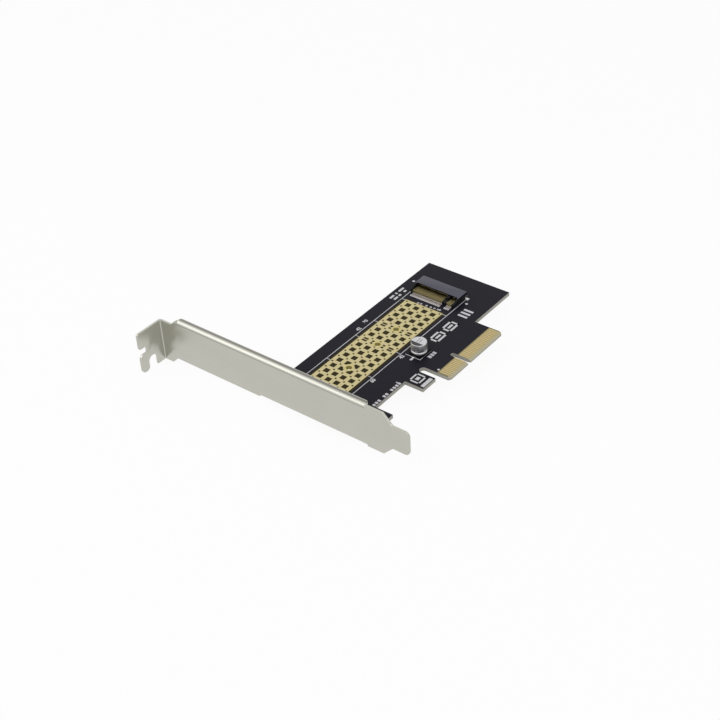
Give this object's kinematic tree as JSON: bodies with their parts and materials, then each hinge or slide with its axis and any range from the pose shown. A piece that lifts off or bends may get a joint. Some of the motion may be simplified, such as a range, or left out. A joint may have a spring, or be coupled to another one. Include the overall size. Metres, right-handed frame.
{
  "type": "expansion card adapter for a solid-state drive module",
  "caption": "Black adapter card with a drive-module socket, gilt edge contacts, a gold heat-spreading field and a full-height folded steel bracket.",
  "frame": {"origin": "middle of the key notch in the edge tongue, at the tongue's lower edge, on the component side of the board", "axes": "+X from the bracket to the far edge of the board, +Y from the edge tongue up to the bracket's screw tab, +Z out of the component side"},
  "size_m": [0.1169, 0.12, 0.0213],
  "materials": {
    "board_mask": "black solder mask, slight satin sheen",
    "bare_gilt_copper": "pale immersion gold, satin",
    "hole_plate": "pale immersion gold, smooth",
    "edge_gilt": "gold plating, smooth",
    "socket_plastic": "black moulded plastic, fine grain",
    "contact_gilt": "stamped strip, gold flash",
    "tinned_pad": "reflowed solder, bright",
    "tinned_steel": "tin plating, satin",
    "can_aluminium": "coated drawn can, satin",
    "base_plastic": "black moulded plastic, matt",
    "bracket_nickel": "satin nickel plating over rolled sheet",
    "screw_nickel": "bright nickel plating"
  },
  "bodies": {
    "root": {"board": "board_mask", "thermal_field": "bare_gilt_copper", "hole_ring_30": "hole_plate", "hole_ring_42": "hole_plate", "hole_ring_60": "hole_plate", "hole_ring_80": "hole_plate", "edge_contacts_component": "edge_gilt", "edge_contacts_solder": "edge_gilt", "socket_housing": "socket_plastic", "socket_lower_contacts": "contact_gilt", "socket_upper_contacts": "contact_gilt", "socket_front_pads": "tinned_pad", "socket_rear_pads": "tinned_pad", "socket_anchor_pads": "tinned_pad", "capacitor_pads": "tinned_pad", "socket_hold_downs": "tinned_steel", "capacitor_can": "can_aluminium", "capacitor_base": "base_plastic", "capacitor_leads": "tinned_steel", "bracket": "bracket_nickel", "bracket_screws": "screw_nickel"}
  },
  "joints": []
}
